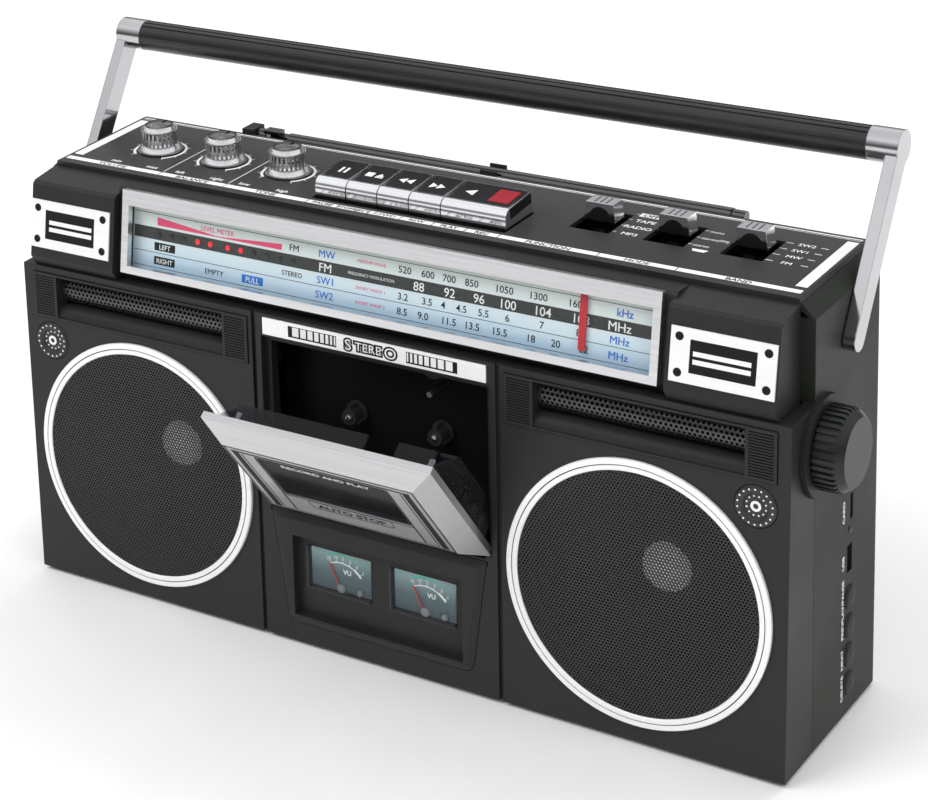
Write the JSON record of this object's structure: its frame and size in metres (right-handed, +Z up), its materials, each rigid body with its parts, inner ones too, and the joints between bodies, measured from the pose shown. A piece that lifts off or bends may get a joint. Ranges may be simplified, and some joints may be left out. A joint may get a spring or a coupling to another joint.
{
  "type": "radio cassette player",
  "caption": "Portable stereo radio cassette player with twin loudspeakers, a tilting cassette door, level meters, a lit dial, piano keys and a swing handle.",
  "frame": {"origin": "middle of the footprint, halfway across the width and the depth of the cabinet, on the surface that the feet stand on", "axes": "+X to the user's right, +Y from the loudspeaker front towards the back, +Z up"},
  "size_m": [0.3904, 0.1478, 0.2421],
  "materials": {
    "case_front": "fine grained matte black",
    "case_rear": "fine grained matte dark grey",
    "deck_black": "printed satin black",
    "inner_black": "matte black",
    "silver_trim": "fine brushed",
    "white_trim": "satin white and silver",
    "clear_plastic": "clear gloss",
    "smoke_plastic": "smoked clear gloss",
    "dial_print": "printed scale, lit from behind",
    "grille_black": "perforated, satin black",
    "steel": "plain zinc plate",
    "paper_black": "fibrous speaker cone",
    "chrome": "polished plate",
    "key_chrome": "polished plate with black inlay",
    "rubber": "matte",
    "board": "circuit board with steel cased controls",
    "ferrite": "matte ferrite with copper winding",
    "meter_face": "meter with clear cover",
    "signal_red": "red",
    "grip": "grooved soft black",
    "brass": "turned"
  },
  "bodies": {
    "cabinet": {"front_cabinet": "case_front", "rear_cabinet": "case_rear", "top_housing": "case_front", "control_plate": "deck_black", "dial_bezel": "silver_trim", "dial_lens": "clear_plastic", "dial_scale": "dial_print", "trim_plates": "white_trim", "speaker_rings": "white_trim", "front_grilles": "grille_black", "woofer_frames": "steel", "woofer_cones": "paper_black", "horn_bezels": "case_front", "horn_tweeters": "silver_trim", "piezo_tweeters": "inner_black", "deck_badge": "white_trim", "meter_bezel": "case_front", "meter_cases": "meter_face", "deck_chassis": "steel", "drive_motor": "steel", "drive_belt": "rubber", "control_board": "board", "power_supply": "board", "ferrite_rod": "ferrite", "case_screws": "steel", "rubber_feet": "rubber", "aerial_saddle": "case_rear"},
    "handle": {"handle_grip": "grip", "handle_arms": "chrome"},
    "door": {"door_frame": "silver_trim", "door_window": "smoke_plastic", "cassette_holder": "smoke_plastic"},
    "volume": {"volume_knob": "chrome"},
    "balance": {"balance_knob": "chrome"},
    "tone": {"tone_knob": "chrome"},
    "tuning": {"tuning_knob": "deck_black"},
    "pointer": {"dial_pointer": "signal_red"},
    "key_pause": {"pause_key": "key_chrome"},
    "key_stop": {"stop_key": "key_chrome"},
    "key_forward": {"forward_key": "key_chrome"},
    "key_rewind": {"rewind_key": "key_chrome"},
    "key_play_record": {"play_record_key": "key_chrome"},
    "function": {"function_switch": "chrome"},
    "mode": {"mode_switch": "chrome"},
    "band": {"band_switch": "chrome"},
    "button_play": {"play_button": "case_rear"},
    "button_previous": {"previous_button": "case_rear"},
    "button_next": {"next_button": "case_rear"},
    "button_delete": {"delete_button": "case_rear"},
    "meter_left": {"needle_left": "signal_red"},
    "meter_right": {"needle_right": "signal_red"},
    "reel_supply": {"supply_reel": "inner_black"},
    "reel_takeup": {"takeup_reel": "inner_black"},
    "capstan": {"flywheel": "steel"},
    "motor_rotor": {"motor_pulley": "brass"},
    "pinch": {"pinch_roller": "rubber"},
    "heads": {"head_carriage": "steel"},
    "battery_lid": {"battery_door": "case_rear"},
    "aerial_base": {"aerial_swivel": "chrome"},
    "aerial_outer": {"aerial_tube": "chrome"},
    "aerial_inner": {"aerial_rod": "chrome"}
  },
  "joints": [
    {"name": "handle_swing", "type": "hinge", "parent": "cabinet", "child": "handle", "pos_m": [0, 0.009, 0.17], "axis": [1, 0, 0], "range_deg": [0, 115]},
    {"name": "door_swing", "type": "hinge", "parent": "cabinet", "child": "door", "pos_m": [0, -0.041, 0.0687], "axis": [1, 0, 0], "range_deg": [-39.7, 0]},
    {"name": "volume_turn", "type": "hinge", "parent": "cabinet", "child": "volume", "pos_m": [-0.1435, 0.011, 0.196], "axis": [0, 0, 1], "range_deg": [-150, 150]},
    {"name": "balance_turn", "type": "hinge", "parent": "cabinet", "child": "balance", "pos_m": [-0.1083, 0.011, 0.196], "axis": [0, 0, 1], "range_deg": [-150, 150]},
    {"name": "tone_turn", "type": "hinge", "parent": "cabinet", "child": "tone", "pos_m": [-0.0737, 0.011, 0.196], "axis": [0, 0, 1], "range_deg": [-150, 150]},
    {"name": "tuning_turn", "type": "hinge", "parent": "cabinet", "child": "tuning", "pos_m": [0.185, -0.0146, 0.1343], "axis": [1, 0, 0], "range_deg": [-939, 141]},
    {"name": "pointer_travel", "type": "slide", "parent": "cabinet", "child": "pointer", "axis": [1, 0, 0], "range_m": [-0.08, 0.012]},
    {"name": "pause_press", "type": "hinge", "parent": "cabinet", "child": "key_pause", "pos_m": [0, 0.035, 0.191], "axis": [1, 0, 0], "range_deg": [0, 9], "stiffness_Nm_per_rad": 0.6, "springref_deg": -6.88},
    {"name": "stop_press", "type": "hinge", "parent": "cabinet", "child": "key_stop", "pos_m": [0, 0.035, 0.191], "axis": [1, 0, 0], "range_deg": [0, 9], "stiffness_Nm_per_rad": 0.6, "springref_deg": -6.88},
    {"name": "forward_press", "type": "hinge", "parent": "cabinet", "child": "key_forward", "pos_m": [0, 0.035, 0.191], "axis": [1, 0, 0], "range_deg": [0, 9], "stiffness_Nm_per_rad": 0.6, "springref_deg": -6.88},
    {"name": "rewind_press", "type": "hinge", "parent": "cabinet", "child": "key_rewind", "pos_m": [0, 0.035, 0.191], "axis": [1, 0, 0], "range_deg": [0, 9], "stiffness_Nm_per_rad": 0.6, "springref_deg": -6.88},
    {"name": "play_record_press", "type": "hinge", "parent": "cabinet", "child": "key_play_record", "pos_m": [0, 0.035, 0.191], "axis": [1, 0, 0], "range_deg": [0, 9], "stiffness_Nm_per_rad": 0.6, "springref_deg": -6.88},
    {"name": "function_slide", "type": "slide", "parent": "cabinet", "child": "function", "axis": [0, 1, 0], "range_m": [-0.008, 0.004]},
    {"name": "mode_slide", "type": "slide", "parent": "cabinet", "child": "mode", "axis": [0, 1, 0], "range_m": [-0.008, 0.004]},
    {"name": "band_slide", "type": "slide", "parent": "cabinet", "child": "band", "axis": [0, 1, 0], "range_m": [-0.008, 0.004]},
    {"name": "play_button_press", "type": "slide", "parent": "cabinet", "child": "button_play", "axis": [-1, 0, 0], "range_m": [0, 0.0012], "stiffness_N_per_m": 300, "springref_m": -0.0006},
    {"name": "previous_button_press", "type": "slide", "parent": "cabinet", "child": "button_previous", "axis": [-1, 0, 0], "range_m": [0, 0.0012], "stiffness_N_per_m": 300, "springref_m": -0.0006},
    {"name": "next_button_press", "type": "slide", "parent": "cabinet", "child": "button_next", "axis": [-1, 0, 0], "range_m": [0, 0.0012], "stiffness_N_per_m": 300, "springref_m": -0.0006},
    {"name": "delete_button_press", "type": "slide", "parent": "cabinet", "child": "button_delete", "axis": [-1, 0, 0], "range_m": [0, 0.0012], "stiffness_N_per_m": 300, "springref_m": -0.0006},
    {"name": "needle_left_swing", "type": "hinge", "parent": "cabinet", "child": "meter_left", "pos_m": [-0.021, -0.04614, 0.0303], "axis": [0, 0.9995, -0.0304], "range_deg": [0, 50], "stiffness_Nm_per_rad": 0.0001, "springref_deg": -5.73},
    {"name": "needle_right_swing", "type": "hinge", "parent": "cabinet", "child": "meter_right", "pos_m": [0.021, -0.04614, 0.0303], "axis": [0, 0.9995, -0.0304], "range_deg": [0, 50], "stiffness_Nm_per_rad": 0.0001, "springref_deg": -5.73},
    {"name": "supply_reel_turn", "type": "hinge", "parent": "cabinet", "child": "reel_supply", "pos_m": [-0.02125, -0.022, 0.1065], "axis": [0, 1, 0], "continuous": true},
    {"name": "takeup_reel_turn", "type": "hinge", "parent": "cabinet", "child": "reel_takeup", "pos_m": [0.02125, -0.022, 0.1065], "axis": [0, 1, 0], "continuous": true},
    {"name": "capstan_turn", "type": "hinge", "parent": "cabinet", "child": "capstan", "pos_m": [0.024, -0.0125, 0.13], "axis": [0, 1, 0], "continuous": true},
    {"name": "motor_turn", "type": "hinge", "parent": "cabinet", "child": "motor_rotor", "pos_m": [-0.028, -0.0125, 0.1], "axis": [0, 1, 0], "continuous": true},
    {"name": "head_advance", "type": "slide", "parent": "cabinet", "child": "heads", "axis": [0, 0, -1], "range_m": [0, 0.0046]},
    {"name": "pinch_swing", "type": "hinge", "parent": "cabinet", "child": "pinch", "pos_m": [0.044, -0.0276, 0.146], "axis": [0, -1, 0], "range_deg": [0, 13]},
    {"name": "battery_lid_swing", "type": "hinge", "parent": "cabinet", "child": "battery_lid", "pos_m": [0, 0.047, 0.0184], "axis": [-1, 0, 0], "range_deg": [0, 95]},
    {"name": "aerial_turn", "type": "hinge", "parent": "cabinet", "child": "aerial_base", "pos_m": [-0.108, 0.0522, 0.194], "axis": [1, 0, 0], "range_deg": [0, 60]},
    {"name": "aerial_elbow", "type": "hinge", "parent": "aerial_base", "child": "aerial_outer", "pos_m": [-0.108, 0.0522, 0.194], "axis": [0, 0, 1], "range_deg": [0, 90]},
    {"name": "aerial_pull", "type": "slide", "parent": "aerial_outer", "child": "aerial_inner", "axis": [1, 0, 0], "range_m": [0, 0.18]}
  ],
  "couplings": [
    {"joint": "pointer_travel", "follows": "tuning_turn", "m_per_rad": 0.00487},
    {"joint": "head_advance", "follows": "play_record_press", "m_per_rad": 0.029},
    {"joint": "pinch_swing", "follows": "play_record_press", "ratio": 1.44},
    {"joint": "motor_turn", "follows": "capstan_turn", "ratio": 5.5}
  ]
}
